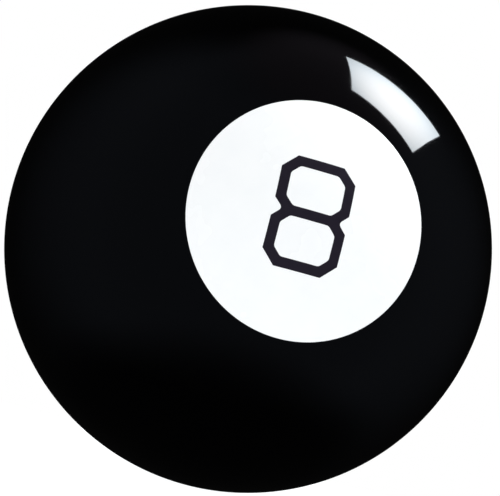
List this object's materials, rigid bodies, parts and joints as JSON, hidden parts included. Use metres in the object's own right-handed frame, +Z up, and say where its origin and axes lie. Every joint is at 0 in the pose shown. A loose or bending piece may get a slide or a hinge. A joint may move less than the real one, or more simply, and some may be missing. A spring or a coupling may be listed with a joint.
{
  "type": "fortune-telling toy ball",
  "caption": "Glossy black toy ball made like a numbered pool ball, with a white numbered disc, and a window on the far side that shows a die floating in dyed fluid.",
  "frame": {"origin": "centre of the ball's sphere", "axes": "+Y runs from the numbered disc out through the middle of the window; +Z is up, towards the top of the upright numeral; +X is to the right as the numeral is read"},
  "size_m": [0.1016, 0.0952, 0.1016],
  "materials": {
    "shell_plastic": "gloss",
    "disc_print": "gloss",
    "numeral_ink": "gloss",
    "bezel_plastic": "satin",
    "lens_clear": "polished",
    "seal_rubber": "matte",
    "reservoir_plastic": "satin",
    "funnel_plastic": "satin",
    "plug_plastic": "satin",
    "dyed_fluid": "gloss",
    "die_plastic": "satin"
  },
  "bodies": {
    "ball": {"front_shell": "shell_plastic", "rear_shell": "shell_plastic", "number_disc": "disc_print", "numeral_eight": "numeral_ink", "window_bezel": "bezel_plastic", "window_lens": "lens_clear", "window_seal": "seal_rubber", "reservoir_tube": "reservoir_plastic", "bubble_funnel": "funnel_plastic", "cap_seal": "seal_rubber", "reservoir_cap": "reservoir_plastic", "fill_plug": "plug_plastic"},
    "fluid": {"dyed_fluid": "dyed_fluid"},
    "die": {"die_window_half": "die_plastic", "die_far_half": "die_plastic"}
  },
  "joints": [
    {"name": "fluid_swirl", "type": "hinge", "parent": "ball", "child": "fluid", "pos_m": [0, 0, 0], "axis": [0, 1, 0], "continuous": true},
    {"name": "die_float", "type": "slide", "parent": "fluid", "child": "die", "axis": [0, -1, 0], "range_m": [0, 0.0185], "deforming": ["dyed_fluid"]}
  ]
}
